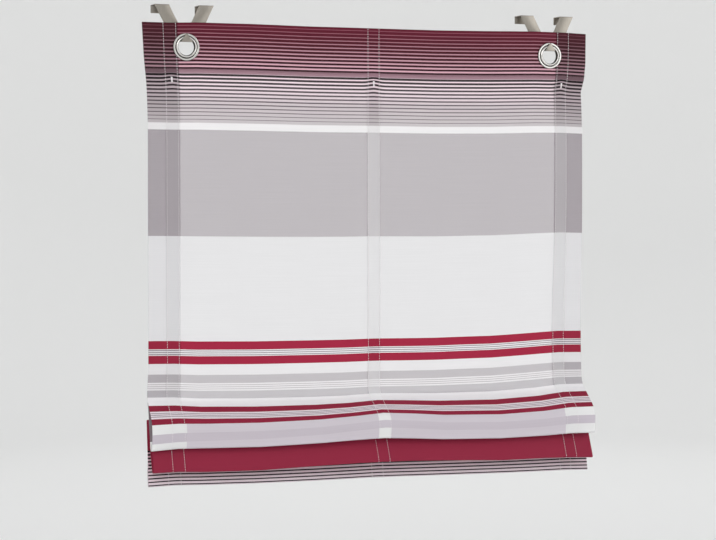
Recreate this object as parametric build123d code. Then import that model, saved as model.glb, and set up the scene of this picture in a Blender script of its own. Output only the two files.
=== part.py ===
from build123d import *
import math
import os

# Roman blind that hangs by two eyelets on sheet-metal hooks laid over a window sash.
# It is shown partly raised: two folds and a skirt, held up by cord locks on three cords.
#
# Frame, in millimetres: +Z is up, the front of the blind faces -Y, +X is to the right
# seen from the front. The origin lies midway between the hooks on the sash's top front edge:
# the sash's top is the plane Z = 0 and its front face is the plane Y = 0.

os.makedirs("parts", exist_ok=True)

# Cloth
panel_width = 600
hem_to_sash_top = 22        # the cloth's top edge hangs this far below the sash top
fabric_thickness = 0.5
side_hem_width = 42
top_hem_depth = 60
standoff = 8                # sash front face to the middle of the front layer
cut_margin = 1              # how far a cutting solid reaches past what it cuts

# How the cloth is cut up along its length
tack_drop = 72              # top edge to the bar tack that ends each cord
flat_drop = 446             # top edge to where the first fold leaves the flat panel
ring_above_fold = 8         # ring row three sits this far above that bend
ring_pitch = 170            # along the cloth
skirt_length = 82           # lowest ring row to the bottom edge

# Folds, seen from the side
fold_reach = 46             # how far the first fold comes forward
fold_shoulder_drop = 51
fold_tuck = 4               # a fold's bottom lies this far behind its shoulder
first_fold_drop = 80
second_fold_drop = 111
stack_pitch = 25            # between the gathered ring rows
skirt_reach = 13
fold_gap = 6                # between the two legs of a fold at its bottom
crease_height = 7           # flat patch that each gathered ring row is sewn to
shoulder_radius = 34
root_radius = 22
fold_radius = 2.6
crease_radius = 1.2
leave_radius = 6            # below the patch, where the cloth turns forward again

# Bottom hem and the flat bar in it
bar_height = 18
bar_thickness = 2.5
bar_end_gap = 6
bar_round_share = 0.45      # share of the bar's thickness that each long edge's round takes
bar_floor_gap = 0.73        # inside of the hem to the bar's lower edge
hem_clearance = 0.3
hem_seam = 5
hem_flat = 0.2              # left flat at the bottom of the hem, between its two bends

# Cord tapes, rings and cords
tape_width = 18
tape_thickness = 0.6
tape_inset = 32             # side edge to the middle of a side tape
sewn_gap = 0.1              # between cloth, tape and rings
ring_outer = 12
ring_wire = 2
cord_diameter = 1.6
cord_knot = 4.4
knot_drop = 14              # below the lock's middle
cord_bend = 200             # radius of the cord's one bend

# Eyelets
eyelet_inset = 50           # side edge to the eyelet's middle
eyelet_drop = 30            # top edge to the eyelet's middle
eyelet_outer = 34
eyelet_hole = 20.5
eyelet_wall = 0.8
eyelet_proud = 2.4
flange_edge = 0.7
flange_proud = 2.16         # crown of the flange, from the cloth's front face
flange_bulge = 0.3          # the crown lies this far outside the middle of the flange
groove_inset = 3.3          # rim to the groove round the inner ring
groove_proud = 1.42
bore_edge_proud = 0.96
washer_outer = 33
washer_thickness = 1.0
washer_edge = 0.3
curl_thickness = 0.6
curl_width = 1.9
cloth_hole_clearance = 0.2
washer_clearance = 0.3

# Sash hooks
hook_sheet = 1.0
hook_top_half_span = 38
hook_strip_span = 18.7      # one leg, measured along X
hook_slope = 0.5            # sideways run of a leg for each unit of height
crease_outer_drop = 5
crease_inner_drop = 10.5
sash_grip = 18
lip_drop = 9
tongue_width = 14
tip_width = 13
tip_height = 10
tip_point = 1.2
tip_shoulder = 1.5
hook_clearance = 0.4
hook_bend = 0.9

# Cord locks
lock_outer = 13
lock_bore = 9.4
lock_floor = 1.5
lock_rim = 0.8              # round on the barrel's two outer edges
plunger_clearance = 0.3
plunger_proud = 5.5
plunger_web = 2.5           # from the cord to the plunger's inner end
button_rim = 1.2
press_travel = 3.0
cord_hole = 3.2
pinch_gap = 0.1
lock_gap = 0.3
spring_wire = 0.6
spring_turns = 4
spring_length = 6
spring_end_gap = 0.15
lock_mouth = 8.5            # cord to the lock's open end

# Worked out from the sizes above
half = fabric_thickness / 2
cloth_top = -hem_to_sash_top
front_face = -standoff - half
hem_back = -standoff + 3 * half
edge = panel_width / 2
tape_places = {"left": -edge + tape_inset, "center": 0, "right": edge - tape_inset}
eyelet_places = {"left": -edge + eyelet_inset, "right": edge - eyelet_inset}
eyelet_z = cloth_top - eyelet_drop
bend_z = cloth_top - flat_drop


def save(shape, name):
    export_step(shape, f"parts/{name}.step")


def offset_path(points, radii, shift):
    """The same path moved to its left by shift, as points and corner radii."""
    unit = []
    for (y0, z0), (y1, z1) in zip(points, points[1:]):
        length = math.hypot(y1 - y0, z1 - z0)
        unit.append(((y1 - y0) / length, (z1 - z0) / length))
    moved = [(points[0][0] - unit[0][1] * shift, points[0][1] + unit[0][0] * shift)]
    moved_radii = []
    for point, before, after, radius in zip(points[1:-1], unit, unit[1:], radii):
        turn = math.atan2(
            before[0] * after[1] - before[1] * after[0],
            before[0] * after[0] + before[1] * after[1],
        )
        along = shift * math.tan(turn / 2)
        moved.append(
            (
                point[0] - before[1] * shift - before[0] * along,
                point[1] + before[0] * shift - before[1] * along,
            )
        )
        moved_radii.append(radius - shift * math.copysign(1, turn))
    last = unit[-1]
    moved.append((points[-1][0] - last[1] * shift, points[-1][1] + last[0] * shift))
    return moved, moved_radii


def rounded(points, radii):
    return FilletPolyline(*points, radius=radii) if radii else Line(*points)


def ribbon(points, radii, near, far, x_low, x_high):
    """A strip of cloth: its section lies between two offsets of the path, to the left of it."""
    inner, inner_radii = offset_path(points, radii, near)
    outer, outer_radii = offset_path(points, radii, far)
    outline = [
        *rounded(inner, inner_radii).edges(),
        Line(inner[-1], outer[-1]),
        *rounded(outer, outer_radii).edges(),
        Line(outer[0], inner[0]),
    ]
    section = Plane.YZ * make_face(outline)
    return Pos(x_low, 0, 0) * extrude(section, amount=x_high - x_low, dir=(1, 0, 0))


# The path of the cloth: points are (Y, Z) from the top edge down, and forward is -Y.
# Left of the path is the back.


def forward(reach, drop):
    return (-standoff - reach, bend_z - drop)


def gathered_fold(shoulder, bottom_reach, bottom_drop, ring_drop):
    """Corners of one fold, from its shoulder to the patch that carries the next ring row."""
    points = [forward(bottom_reach, bottom_drop), forward(bottom_reach - fold_gap, bottom_drop)]
    points += [
        forward(0, ring_drop - crease_height / 2),
        forward(0, ring_drop + crease_height / 2),
    ]
    radii = [fold_radius, fold_radius, crease_radius, leave_radius]
    if shoulder:
        points.insert(0, forward(*shoulder))
        radii.insert(0, shoulder_radius)
    return points, radii


bottom_reach = fold_reach - fold_tuck
ring_drops = {
    "row_4": -ring_pitch - ring_above_fold,
    "row_3": -ring_above_fold,
    "row_2": stack_pitch,
    "row_1": 2 * stack_pitch,
}
first_points, first_radii = gathered_fold(
    (fold_reach, fold_shoulder_drop), bottom_reach, first_fold_drop, ring_drops["row_2"]
)
second_points, second_radii = gathered_fold(
    None, bottom_reach, second_fold_drop, ring_drops["row_1"]
)

# The skirt hangs from the lowest patch, leaning forward by skirt_reach.
skirt_start = second_points[-1]
skirt_drop = math.sqrt(skirt_length**2 - skirt_reach**2)
skirt_end = (skirt_start[0] - skirt_reach, skirt_start[1] - skirt_drop)
skirt_down = (-skirt_reach / skirt_length, -skirt_drop / skirt_length)
skirt_back = (-skirt_down[1], skirt_down[0])


def on_skirt(up, back):
    """A point so far up from the bottom edge and so far behind the cloth's middle."""
    return (
        skirt_end[0] - skirt_down[0] * up + skirt_back[0] * back,
        skirt_end[1] - skirt_down[1] * up + skirt_back[1] * back,
    )


tunnel_depth = bar_thickness + 2 * hem_clearance + fabric_thickness
tunnel_height = bar_height + 2 * hem_clearance + tunnel_depth / 2
seam_start = tunnel_height + tunnel_depth

body_points = [(-standoff, cloth_top), forward(0, 0), *first_points, *second_points]
body_radii = [root_radius, *first_radii, *second_radii]
hem_radius = (tunnel_depth - hem_flat) / 2
hem_half_way = on_skirt(tunnel_height / 2, tunnel_depth)
panel_points = body_points + [skirt_end, on_skirt(0, tunnel_depth), hem_half_way]
panel_radii = body_radii + [hem_radius, hem_radius]
seam_lap = 0.9 * fabric_thickness       # the sewn layers share a little, so they are one solid
hem_points = [
    hem_half_way,
    on_skirt(tunnel_height, tunnel_depth),
    on_skirt(seam_start, seam_lap),
    on_skirt(seam_start + hem_seam, seam_lap),
]
tape_points = body_points + [on_skirt(seam_start + hem_seam + hem_clearance, 0)]
flat_points = [(-standoff, cloth_top), (-standoff, cloth_top - top_hem_depth)]


def cloth_hole(place, radius, y_low, y_high):
    hole = Cylinder(radius, y_high - y_low, rotation=(90, 0, 0))
    return Pos(place, (y_low + y_high) / 2, eyelet_z) * hole


def fabric_panel():
    panel = ribbon(panel_points, panel_radii, -half, half, -edge, edge)
    for x_low in (-edge, edge - side_hem_width):
        panel += ribbon(tape_points, body_radii, half, 3 * half, x_low, x_low + side_hem_width)
    panel += ribbon(hem_points, [fold_radius, fold_radius], -half, half, -edge, edge)
    inside = edge - side_hem_width
    panel += ribbon(flat_points, [], half, 3 * half, -inside, inside)
    barrel = eyelet_hole / 2 + eyelet_wall + cloth_hole_clearance
    for place in eyelet_places.values():
        panel -= cloth_hole(place, barrel, front_face - cut_margin, hem_back + cut_margin)
    return panel


def tape_back(side):
    """Y of a tape's back face where the cloth is flat."""
    layers = 1 if side == "center" else 3
    return -standoff + layers * half + sewn_gap + tape_thickness


def cord_tape(side):
    near = tape_back(side) - tape_thickness + standoff
    place = tape_places[side]
    points = tape_points
    if side == "center":        # the centre tape starts below the top hem
        points = [(-standoff, cloth_top - top_hem_depth - sewn_gap), *tape_points[1:]]
    tape = ribbon(
        points,
        body_radii,
        near,
        near + tape_thickness,
        place - tape_width / 2,
        place + tape_width / 2,
    )
    around_washer = washer_outer / 2 + washer_clearance
    for eyelet in eyelet_places.values():
        tape -= cloth_hole(eyelet, around_washer, hem_back, tape_back(side) + cut_margin)
    return tape


def ring_y(side):
    return tape_back(side) + sewn_gap + ring_outer / 2


def ring_set(side):
    ring = Torus((ring_outer - ring_wire) / 2, ring_wire / 2)
    rings = [
        Pos(tape_places[side], ring_y(side), bend_z - drop) * ring for drop in ring_drops.values()
    ]
    return Compound(children=rings)


lowest_ring_z = bend_z - ring_drops["row_1"]
lock_z = lowest_ring_z - ring_wire / 2 - lock_gap - lock_outer / 2
pinch_edge = cord_diameter / 2 + pinch_gap
lock_hole_x = pinch_edge - cord_hole / 2
plunger_slot = 2 * pinch_edge + press_travel + plunger_clearance
plunger_inner = -pinch_edge - plunger_web
spring_base = plunger_inner - spring_length
lock_low = spring_base - lock_floor
button_end = lock_mouth + plunger_proud


def lift_cord(side):
    """From its tack on the tape straight to the lowest rings, through the lock, to a knot."""
    y = ring_y(side)
    start_y = tape_back(side) + sewn_gap + cord_diameter / 2
    straight_top = lowest_ring_z + stack_pitch / 2
    points = [(start_y, cloth_top - tack_drop), (y, straight_top), (y, lock_z - knot_drop)]
    route = FilletPolyline(*points, radius=cord_bend)
    line = Plane.YZ * route
    start = Plane(line @ 0, z_dir=line % 0)
    cord = sweep(start * Circle(cord_diameter / 2), path=line)
    cord += Pos(0, y, lock_z - knot_drop) * Sphere(cord_knot / 2)
    return Pos(tape_places[side], 0, 0) * cord


def along_x(radius, x_low, x_high):
    return Pos((x_low + x_high) / 2, 0, 0) * Cylinder(radius, x_high - x_low, rotation=(0, 90, 0))


def lock_at(shape, side):
    return Pos(tape_places[side], ring_y(side), lock_z) * shape


def cord_lock_body():
    body = along_x(lock_outer / 2, lock_low, lock_mouth)
    body = fillet(body.edges().filter_by(GeomType.CIRCLE), lock_rim)
    body -= along_x(lock_bore / 2, spring_base, lock_mouth + cut_margin)
    return body - Pos(lock_hole_x, 0, 0) * Cylinder(cord_hole / 2, lock_outer + cut_margin)


def cord_lock_plunger():
    radius = lock_bore / 2 - plunger_clearance
    plunger = along_x(radius, plunger_inner, button_end)
    plunger = fillet(plunger.edges().group_by(Axis.X)[-1], button_rim)
    slot_middle = -pinch_edge + plunger_slot / 2
    slot = SlotOverall(plunger_slot, cord_hole)
    return plunger - Pos(slot_middle, 0, -lock_bore) * extrude(slot, amount=2 * lock_bore)


def cord_lock_spring():
    turns_length = spring_length - 2 * spring_end_gap - spring_wire
    radius = lock_bore / 2 - plunger_clearance - spring_wire
    coil = Helix(turns_length / spring_turns, turns_length, radius)
    wire = sweep(Plane(coil @ 0, z_dir=coil % 0) * Circle(spring_wire / 2), path=coil)
    start_x = spring_base + spring_end_gap + spring_wire / 2
    return Pos(start_x, 0, 0) * (Rot(0, 90, 0) * wire)


def turned(outline, place, y):
    """A ring turned about the eyelet's axis. The outline is (radius, distance behind y)."""
    ring = revolve(Plane.XY * make_face(outline), axis=Axis.Y)
    return Pos(place, y, eyelet_z) * ring


def eyelet_front(place):
    """Flange, groove and inner ring in front of the cloth; a barrel through it, curled behind."""
    bore = eyelet_hole / 2
    barrel = bore + eyelet_wall
    curl_rim = barrel + curl_width
    rim = eyelet_outer / 2
    groove = rim - groove_inset
    washer_back = hem_back - front_face + 2 * sewn_gap + washer_thickness
    curl = washer_back + curl_thickness
    flange_side = (rim, -sewn_gap - flange_edge)
    flange_crown = ((rim + groove) / 2 + flange_bulge, -flange_proud)
    groove_floor = (groove, -groove_proud)
    inner_crown = ((groove + bore) / 2, -sewn_gap - eyelet_proud)
    bore_edge = (bore, -bore_edge_proud)
    outline = [
        Line((rim, -sewn_gap), flange_side),
        ThreePointArc(flange_side, flange_crown, groove_floor),
        ThreePointArc(groove_floor, inner_crown, bore_edge),
        Line(bore_edge, (bore, curl)),
        Line((bore, curl), (curl_rim, curl)),
        Line((curl_rim, curl), (curl_rim, washer_back)),
        Line((curl_rim, washer_back), (barrel, washer_back)),
        Line((barrel, washer_back), (barrel, -sewn_gap)),
        Line((barrel, -sewn_gap), (rim, -sewn_gap)),
    ]
    return turned(outline, place, front_face)


def eyelet_washer(place):
    inner = eyelet_hole / 2 + eyelet_wall + sewn_gap
    washer = Cylinder(washer_outer / 2, washer_thickness) - Cylinder(inner, washer_thickness)
    washer = fillet(washer.edges().filter_by(GeomType.CIRCLE).sort_by(SortBy.LENGTH)[-2:], washer_edge)
    middle = hem_back + sewn_gap + washer_thickness / 2
    return Pos(place, middle, eyelet_z) * (Rot(90, 0, 0) * washer)


eyelet_back = hem_back + 2 * sewn_gap + washer_thickness + curl_thickness
tongue_rest = math.sqrt((eyelet_hole / 2) ** 2 - (tongue_width / 2) ** 2)
shelf_top = eyelet_z + tongue_rest - sewn_gap
shelf_bottom = shelf_top - hook_sheet
tip_back = front_face - sewn_gap - eyelet_proud - hook_clearance
tip_front = tip_back - hook_sheet


def leg_outer(z):
    return hook_top_half_span + hook_slope * z


def leg_inner(z):
    return leg_outer(z) - hook_strip_span


def sheet(outline):
    """Sheet metal standing up, its front face through these points."""
    face = make_face(Polyline(*outline, close=True))
    return extrude(face, amount=hook_sheet, dir=(0, 1, 0))


def hook_leg(mirror):
    """One leg: an upright top, then an oblique crease and a part that leans forward."""
    upright = -hook_sheet
    outer = (leg_outer(-crease_outer_drop), upright, -crease_outer_drop)
    inner = (leg_inner(-crease_inner_drop), upright, -crease_inner_drop)
    corner = (leg_outer(shelf_bottom), eyelet_back + hook_clearance, shelf_bottom)
    along_crease = Vector(*inner) - Vector(*outer)
    down_edge = Vector(*corner) - Vector(*outer)
    normal = along_crease.cross(down_edge)
    crotch_z = -(hook_top_half_span - hook_strip_span) / hook_slope

    def on_lean(x, z):
        away = normal.X * (x - outer[0]) + normal.Z * (z - outer[2])
        return (x, outer[1] - away / normal.Y, z)

    top = [
        (leg_outer(0), upright, hook_sheet),
        (leg_inner(0), upright, hook_sheet),
        (leg_inner(0), upright, 0),
        inner,
        outer,
        (leg_outer(0), upright, 0),
    ]
    low = [outer, inner, on_lean(0, crotch_z), on_lean(0, shelf_bottom), corner]
    from_corner = (Align.MIN, Align.MIN, Align.MIN)
    under_corner = (Align.MIN, Align.MIN, Align.MAX)
    tab = Box(hook_strip_span, sash_grip + 2 * hook_sheet, hook_sheet, align=from_corner)
    lip = Box(hook_strip_span, hook_sheet, lip_drop + hook_sheet, align=under_corner)
    leg = sheet(top) + sheet(low)
    leg += Pos(leg_inner(0), -hook_sheet, 0) * tab
    leg += Pos(leg_inner(0), sash_grip, hook_sheet) * lip
    bends = leg.edges().filter_by(Axis.X).group_by(Axis.Z)[-1]
    leg = fillet(bends, hook_bend)
    middle_y = on_lean(0, shelf_bottom)[1]
    return (leg.mirror(Plane.YZ) if mirror else leg), middle_y


def sash_hook(place):
    right, middle_y = hook_leg(False)
    left, _ = hook_leg(True)
    hook = right + left
    shelf_length = middle_y + hook_sheet / 2 - tip_front
    shelf = Pos(0, tip_front + shelf_length / 2, shelf_top - hook_sheet / 2) * Box(
        tongue_width, shelf_length, hook_sheet
    )
    outline = [
        (-tip_width / 2, tip_front, shelf_bottom),
        (tip_width / 2, tip_front, shelf_bottom),
        (tip_width / 2, tip_front, shelf_bottom + tip_shoulder),
        (tip_point / 2, tip_front, shelf_bottom + tip_height),
        (-tip_point / 2, tip_front, shelf_bottom + tip_height),
        (-tip_width / 2, tip_front, shelf_bottom + tip_shoulder),
    ]
    hook += shelf + sheet(outline)
    return Pos(place, 0, 0) * hook


def weight_bar():
    length = panel_width - 2 * bar_end_gap
    middle = on_skirt(half + bar_floor_gap + bar_height / 2, tunnel_depth / 2)
    lean = math.degrees(math.atan2(skirt_reach, skirt_drop))
    bar = Box(length, bar_thickness, bar_height)
    bar = fillet(bar.edges().filter_by(Axis.X), bar_thickness * bar_round_share)
    return Pos(0, *middle) * (Rot(-lean, 0, 0) * bar)


# Each sub-part is written to its own file, named after it.
save(fabric_panel(), "fabric_panel")
save(weight_bar(), "weight_bar")
for side, place in eyelet_places.items():
    save(eyelet_front(place), f"eyelet_front_{side}")
    save(eyelet_washer(place), f"eyelet_washer_{side}")
    save(sash_hook(place), f"sash_hook_{side}")
for side in tape_places:
    save(cord_tape(side), f"cord_tape_{side}")
    save(ring_set(side), f"ring_set_{side}")
    save(lift_cord(side), f"lift_cord_{side}")
    save(lock_at(cord_lock_body(), side), f"cord_lock_body_{side}")
    save(lock_at(cord_lock_plunger(), side), f"cord_lock_plunger_{side}")
    save(lock_at(cord_lock_spring(), side), f"cord_lock_spring_{side}")

cloth_path = FilletPolyline(*panel_points[: len(body_points) + 1], radius=body_radii)
print("cloth from top edge to bottom edge:", round(cloth_path.length, 1), "mm")
print("sash hooks reach down to Z", round(shelf_bottom, 2))
print("cord lock middle at Z", round(lock_z, 2), "Y", {s: round(ring_y(s), 2) for s in tape_places})
print("lowest point of the cloth at Z", round(skirt_end[1] - half, 2))
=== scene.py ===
import math

import bmesh
import bpy
import numpy as np
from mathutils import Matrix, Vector


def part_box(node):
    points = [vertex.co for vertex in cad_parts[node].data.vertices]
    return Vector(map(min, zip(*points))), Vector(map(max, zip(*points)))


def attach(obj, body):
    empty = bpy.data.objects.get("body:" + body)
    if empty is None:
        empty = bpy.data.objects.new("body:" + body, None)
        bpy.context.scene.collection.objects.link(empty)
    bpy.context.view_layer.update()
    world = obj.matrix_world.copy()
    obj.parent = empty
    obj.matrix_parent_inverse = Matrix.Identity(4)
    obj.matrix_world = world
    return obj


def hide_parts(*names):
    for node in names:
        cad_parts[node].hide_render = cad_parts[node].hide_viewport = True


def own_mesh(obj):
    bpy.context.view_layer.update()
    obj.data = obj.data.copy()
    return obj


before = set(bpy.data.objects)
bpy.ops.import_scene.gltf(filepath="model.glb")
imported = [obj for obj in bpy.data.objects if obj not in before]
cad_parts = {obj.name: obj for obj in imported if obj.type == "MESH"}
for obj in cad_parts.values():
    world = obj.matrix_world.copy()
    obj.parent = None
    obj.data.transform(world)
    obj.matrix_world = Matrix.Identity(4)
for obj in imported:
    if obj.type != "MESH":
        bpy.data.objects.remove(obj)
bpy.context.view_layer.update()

mm = 0.001
scene = bpy.context.scene
scene.view_settings.view_transform = "Standard"

# camera, room and lights

viewSetup = {
    "place": (-1.0313, -2.6286, -0.2410),
    "lens": 110.1,
    "down": 1.857,
    "turn": 21.07,
    "roll": 0.1,
}


def addCamera(setup):
    data = bpy.data.cameras.new("camera")
    data.lens = setup["lens"]
    camera = bpy.data.objects.new("camera", data)
    camera.location = setup["place"]
    camera.rotation_euler = [math.radians(a) for a in (90 - setup["down"], setup["roll"], -setup["turn"])]
    scene.collection.objects.link(camera)
    scene.camera = camera


addCamera(viewSetup)


def linear(hexCode):
    # sRGB hex to the linear colour that shaders want
    parts = [int(hexCode[i : i + 2], 16) / 255 for i in (1, 3, 5)]
    return (*[p / 12.92 if p <= 0.04045 else ((p + 0.055) / 1.055) ** 2.4 for p in parts], 1)


def addNode(tree, kind, inputs=None, **settings):
    # one node with its settings; an input is a value, or another node's socket to link
    node = tree.nodes.new(kind)
    for name, value in settings.items():
        setattr(node, name, value)
    for name, value in (inputs or {}).items():
        if isinstance(value, bpy.types.NodeSocket):
            tree.links.new(value, node.inputs[name])
        else:
            node.inputs[name].default_value = value
    return node


def newMaterial(name):
    material = bpy.data.materials.new(name)
    material.use_nodes = True
    material.node_tree.nodes.clear()
    return material, material.node_tree


def finishMaterial(tree, shader):
    addNode(tree, "ShaderNodeOutputMaterial", {"Surface": shader.outputs[0]})


def addMesh(name, verts, faces, smooth=True):
    mesh = bpy.data.meshes.new(name)
    mesh.from_pydata([tuple(v) for v in verts], [], [tuple(f) for f in faces])
    mesh.polygons.foreach_set("use_smooth", [smooth] * len(mesh.polygons))
    mesh.update()
    piece = bpy.data.objects.new(name, mesh)
    scene.collection.objects.link(piece)
    return piece


def closeShell(piece, weld=None):
    # merges points nearer than weld, fills open ends and turns the faces outwards
    mesh = bmesh.new()
    mesh.from_mesh(piece.data)
    if weld:
        bmesh.ops.remove_doubles(mesh, verts=mesh.verts, dist=weld * mm)
        bmesh.ops.holes_fill(mesh, edges=[e for e in mesh.edges if e.is_boundary])
    bmesh.ops.recalc_face_normals(mesh, faces=mesh.faces)
    mesh.to_mesh(piece.data)
    mesh.free()


room = {
    "floorHeight": -0.95,
    "radius": 4.7,
    "coveRadius": 1.0,
    "wallTop": 3.4,
    "centreHole": 0.001,
    "coveSteps": 16,
    "turns": 96,
    "paint": "#f3f3f2",
}


def addRoom(setup):
    # a round studio: pale floor that curves up into the wall
    low, bend = setup["floorHeight"], setup["coveRadius"]
    profile = [(setup["centreHole"], low)]
    for step in range(setup["coveSteps"] + 1):
        turn = step / setup["coveSteps"] * math.pi / 2
        profile.append((setup["radius"] - bend + bend * math.sin(turn), low + bend - bend * math.cos(turn)))
    profile.append((setup["radius"], setup["wallTop"]))
    turns, count = setup["turns"], len(profile)
    verts, faces = [], []
    for i in range(turns):
        angle = 2 * math.pi * i / turns
        verts += [(r * math.cos(angle), r * math.sin(angle), z) for r, z in profile]
        near, far = i * count, (i + 1) % turns * count
        faces += [(near + k, far + k, far + k + 1, near + k + 1) for k in range(count - 1)]
    backdrop = addMesh("backdrop", verts, faces)
    material, tree = newMaterial("mattePaint")
    paint = {"Base Color": linear(setup["paint"]), "Roughness": 0.95, "Specular IOR Level": 0.1}
    finishMaterial(tree, addNode(tree, "ShaderNodeBsdfPrincipled", paint))
    backdrop.data.materials.append(material)


# soft boxes stand further out than the camera and face the blind; the washes light the wall
lamps = {
    "key": {"place": (-1.9, -2.7, 1.6), "aim": (0, 0, -0.3), "size": 2.2, "watts": 38},
    "fill": {"place": (2.6, -2.2, 0.4), "aim": (0, 0, -0.3), "size": 2.4, "watts": 24},
    "back": {"place": (1.5, 2.9, 1.7), "aim": (0, 0, -0.3), "size": 2.2, "watts": 16},
}
wash = {"count": 4, "firstTurn": 20, "stands": 1.9, "height": 3.0, "aims": 5.5, "aimHeight": -0.3}
for i in range(wash["count"]):
    turn = math.radians(wash["firstTurn"] + 360 / wash["count"] * i)
    lamps[f"wash{i}"] = {
        "place": (wash["stands"] * math.sin(turn), wash["stands"] * math.cos(turn), wash["height"]),
        "aim": (wash["aims"] * math.sin(turn), wash["aims"] * math.cos(turn), wash["aimHeight"]),
        "size": 1.6,
        "watts": 22,
    }


def addLamps(setup, skyColour, skyStrength):
    for name, lamp in setup.items():
        data = bpy.data.lights.new(name, "AREA")
        data.size = lamp["size"]
        data.energy = lamp["watts"]
        light = bpy.data.objects.new(name, data)
        light.location = lamp["place"]
        aim = Vector(lamp["aim"]) - Vector(lamp["place"])
        light.rotation_euler = aim.to_track_quat("-Z", "Y").to_euler()
        scene.collection.objects.link(light)
    world = bpy.data.worlds.new("studio")
    world.use_nodes = True
    background = world.node_tree.nodes["Background"]
    background.inputs["Color"].default_value = linear(skyColour)
    background.inputs["Strength"].default_value = skyStrength
    scene.world = world


addRoom(room)
addLamps(lamps, "#f4f6fa", 0.40)
print("camera, room and lights are in")

# how the cloth runs, in millimetres: from its top edge down, round two folds, to the hem

clothLow, clothHigh = [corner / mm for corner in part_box("fabric_panel")]
panel = {
    "halfWidth": clothHigh.x,
    "top": clothHigh.z,
    "standoff": 8,          # sash face to the cloth
    "length": 868,          # top edge to bottom edge
    "hemWidth": 42,         # side hems, turned behind
    "topHem": 60,
    "bottomHem": 33,        # what is turned up round the bar
    "hemGap": 0.42,         # front layer to side hem
    "topHemGap": 0.85,
    "turnRun": 0.9,         # cloth that a turned edge takes
}
folds = {
    "flatDrop": 465,        # top edge to where the first fold leaves the flat panel
    "shoulderDrop": 32,
    "tuck": 4,
    "firstDrop": 61,
    "secondDrop": 92,
    "gap": 6,
    "crease": 7,
    "skirtLength": 82,
    "skirtReach": 13,
    "tunnelDepth": 3.6,
    "tunnelHeight": 20.4,
    "seamLap": 0.55,
    "seamLength": 5,
    "gatherStart": 12,      # past the first fold's front, along the cloth
    "gatherEnd": 10,        # above the skirt
}
corners = {
    "root": 22,
    "shoulder": 34,
    "bottom": 2.6,
    "crease": 1.2,
    "leave": 6,
    "hem": 1.7,
}

# How far the folds come forward, and how much lower than level the cloth hangs at each stage.
# Between the tapes the cloth droops, and the centre tape is pulled a little higher.
acrossPlaces = [-300, -268, -235, -165, -85, -40, 0, 40, 85, 165, 230, 268, 300]
foldReach = [30, 31, 33, 35, 37, 40, 42, 41, 39, 38, 38, 38, 38]
droop = {
    "topEdge": [0.2, 0.3, -0.9, -0.8, 0.1, 0.2, 0.3, 0.5, 0.6, -0.4, -1.6, -1.2, 0.0],
    "redPair": [0.6, 0.8, 1.0, 1.3, 1.8, 2.6, 4.0, 3.6, 2.4, 0.1, -2.6, -1.6, -0.4],
    "redFold": [-3, -2, 1.5, 4.5, 5.6, 5.0, 2.2, 4.0, 6.5, 8.0, 5.0, 0.2, 0],
    "firstFold": [3.2, 1.2, 1.6, 2.8, 1.1, -1.2, -2.4, -0.2, 2.8, 5.1, 4.0, 2.6, 3.2],
    "secondFold": [-0.6, -1.2, 0.3, 1.3, -1.0, -2.5, -3.0, -2.4, -0.6, 3.0, 2.9, 3.6, 5.0],
    "skirt": [-5.8, -6.6, -5.4, -4.0, -3.6, -3.9, -4.2, -3.4, -2.6, -1.4, -1.0, -1.0, 0],
}
# Half widths, left and right, at distances down the cloth: the loose top corners spread.
edgeStages = [0, 40, 60, 78, 95, 130, 430, 480, 545, 640, 760, 868]
leftEdge = [306.5, 304.3, 302.6, 301.0, 300.3, 299.4, 300.4, 303.4, 303.6, 300.5, 302.5, 304.5]
rightEdge = [303.8, 303.4, 301.4, 296.4, 297.4, 298.8, 300.6, 301.2, 301.8, 297.5, 299.5, 301.0]

tapeSides = ("left", "center", "right")
ringBoxes = {side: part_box("ring_set_" + side) for side in tapeSides}
rings = {"outer": 12.0, "wire": 2.0, "flat": 170, "stack": 25, "loopRadius": 1.35, "loopSpread": 0.9}


def ringDepth(side):
    return (ringBoxes[side][0].y + ringBoxes[side][1].y) / 2 / mm


def ringHeights(side):
    low, high = [corner.z / mm for corner in ringBoxes[side]]
    lowest, highest = low + rings["wire"] / 2, high - rings["wire"] / 2
    return [highest, highest - rings["flat"], lowest + rings["stack"], lowest]


tapeMiddles = {
    side: (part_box("cord_tape_" + side)[0].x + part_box("cord_tape_" + side)[1].x) / 2 / mm
    for side in tapeSides
}
tackDrop = 72


def clothCorners(reach):
    # corners (forward is -Y) and their radii, for a fold that comes forward by reach
    bend = panel["top"] - folds["flatDrop"]
    deep = reach - folds["tuck"]

    def at(forward, drop):
        return (-panel["standoff"] - forward, bend - drop)

    points = [(-panel["standoff"], panel["top"]), at(0, 0), at(reach, folds["shoulderDrop"])]
    radii = [corners["root"], corners["shoulder"]]
    # the two lowest rings pull a crease back to the cloth's line under each fold
    for drop, height in zip((folds["firstDrop"], folds["secondDrop"]), ringHeights("center")[2:]):
        ring = bend - height
        points += [at(deep, drop), at(deep - folds["gap"], drop)]
        points += [at(0, ring - folds["crease"] / 2), at(0, ring + folds["crease"] / 2)]
        radii += [corners["bottom"], corners["bottom"], corners["crease"], corners["leave"]]
    start = points[-1]
    fall = math.sqrt(folds["skirtLength"] ** 2 - folds["skirtReach"] ** 2)
    end = (start[0] - folds["skirtReach"], start[1] - fall)
    up = (folds["skirtReach"] / folds["skirtLength"], fall / folds["skirtLength"])
    back = (up[1], -up[0])

    def onSkirt(rise, behind):
        return (end[0] + up[0] * rise + back[0] * behind, end[1] + up[1] * rise + back[1] * behind)

    seam = folds["tunnelHeight"] + folds["tunnelDepth"]
    points += [end, onSkirt(0, folds["tunnelDepth"])]
    points += [onSkirt(folds["tunnelHeight"], folds["tunnelDepth"])]
    points += [onSkirt(seam, folds["seamLap"]), onSkirt(seam + folds["seamLength"], folds["seamLap"])]
    radii += [corners["hem"], corners["hem"], corners["bottom"], corners["bottom"]]
    return points, radii


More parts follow.
